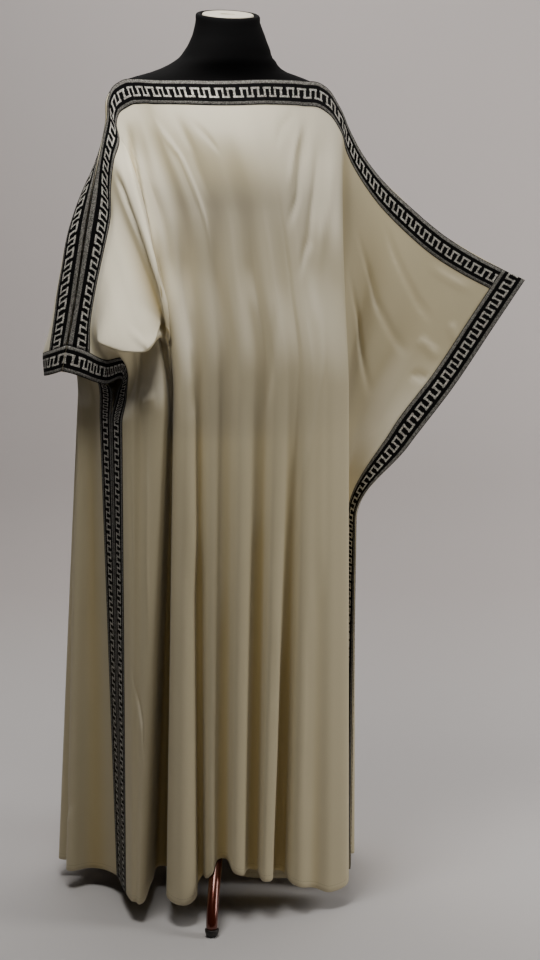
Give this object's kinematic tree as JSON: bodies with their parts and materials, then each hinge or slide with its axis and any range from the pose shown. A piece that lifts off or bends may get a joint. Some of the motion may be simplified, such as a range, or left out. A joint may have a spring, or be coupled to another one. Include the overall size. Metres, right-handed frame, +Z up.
{
  "type": "toga costume on a limbless dress form",
  "caption": "Wide straight-cut toga costume of pale crepe with ribbon on its edges, worn by a limbless form on a low three-legged stand.",
  "frame": {"origin": "on the floor, under the middle of the whole part's bounding box", "axes": "+Z up; the garment's front faces -Y, its raised right-hand sleeve points to +X"},
  "size_m": [0.8396, 0.5, 1.5474],
  "materials": {
    "crepe": "soft ivory knit crepe with a faint sheen",
    "woven_ribbon": "black woven ribbon with a silver meander and silver borders",
    "jersey": "black stretch jersey",
    "neck_cap": "cream",
    "copper": "glossy dark copper brown",
    "foot_tip": "dark brown"
  },
  "bodies": {
    "root": {"front_panel": "crepe", "back_panel": "crepe", "dress_form": "jersey", "neck_cap": "neck_cap", "stand_pole": "copper", "stand_hub": "copper", "stand_leg_front": "copper", "stand_leg_right": "copper", "stand_leg_left": "copper", "foot_tip_front": "foot_tip", "foot_tip_right": "foot_tip", "foot_tip_left": "foot_tip", "front_top_ribbon": "woven_ribbon", "back_top_ribbon": "woven_ribbon", "front_left_ribbon": "woven_ribbon", "front_right_ribbon": "woven_ribbon", "back_left_cuff_ribbon": "woven_ribbon", "back_left_ribbon": "woven_ribbon", "back_right_ribbon": "woven_ribbon"}
  },
  "joints": []
}
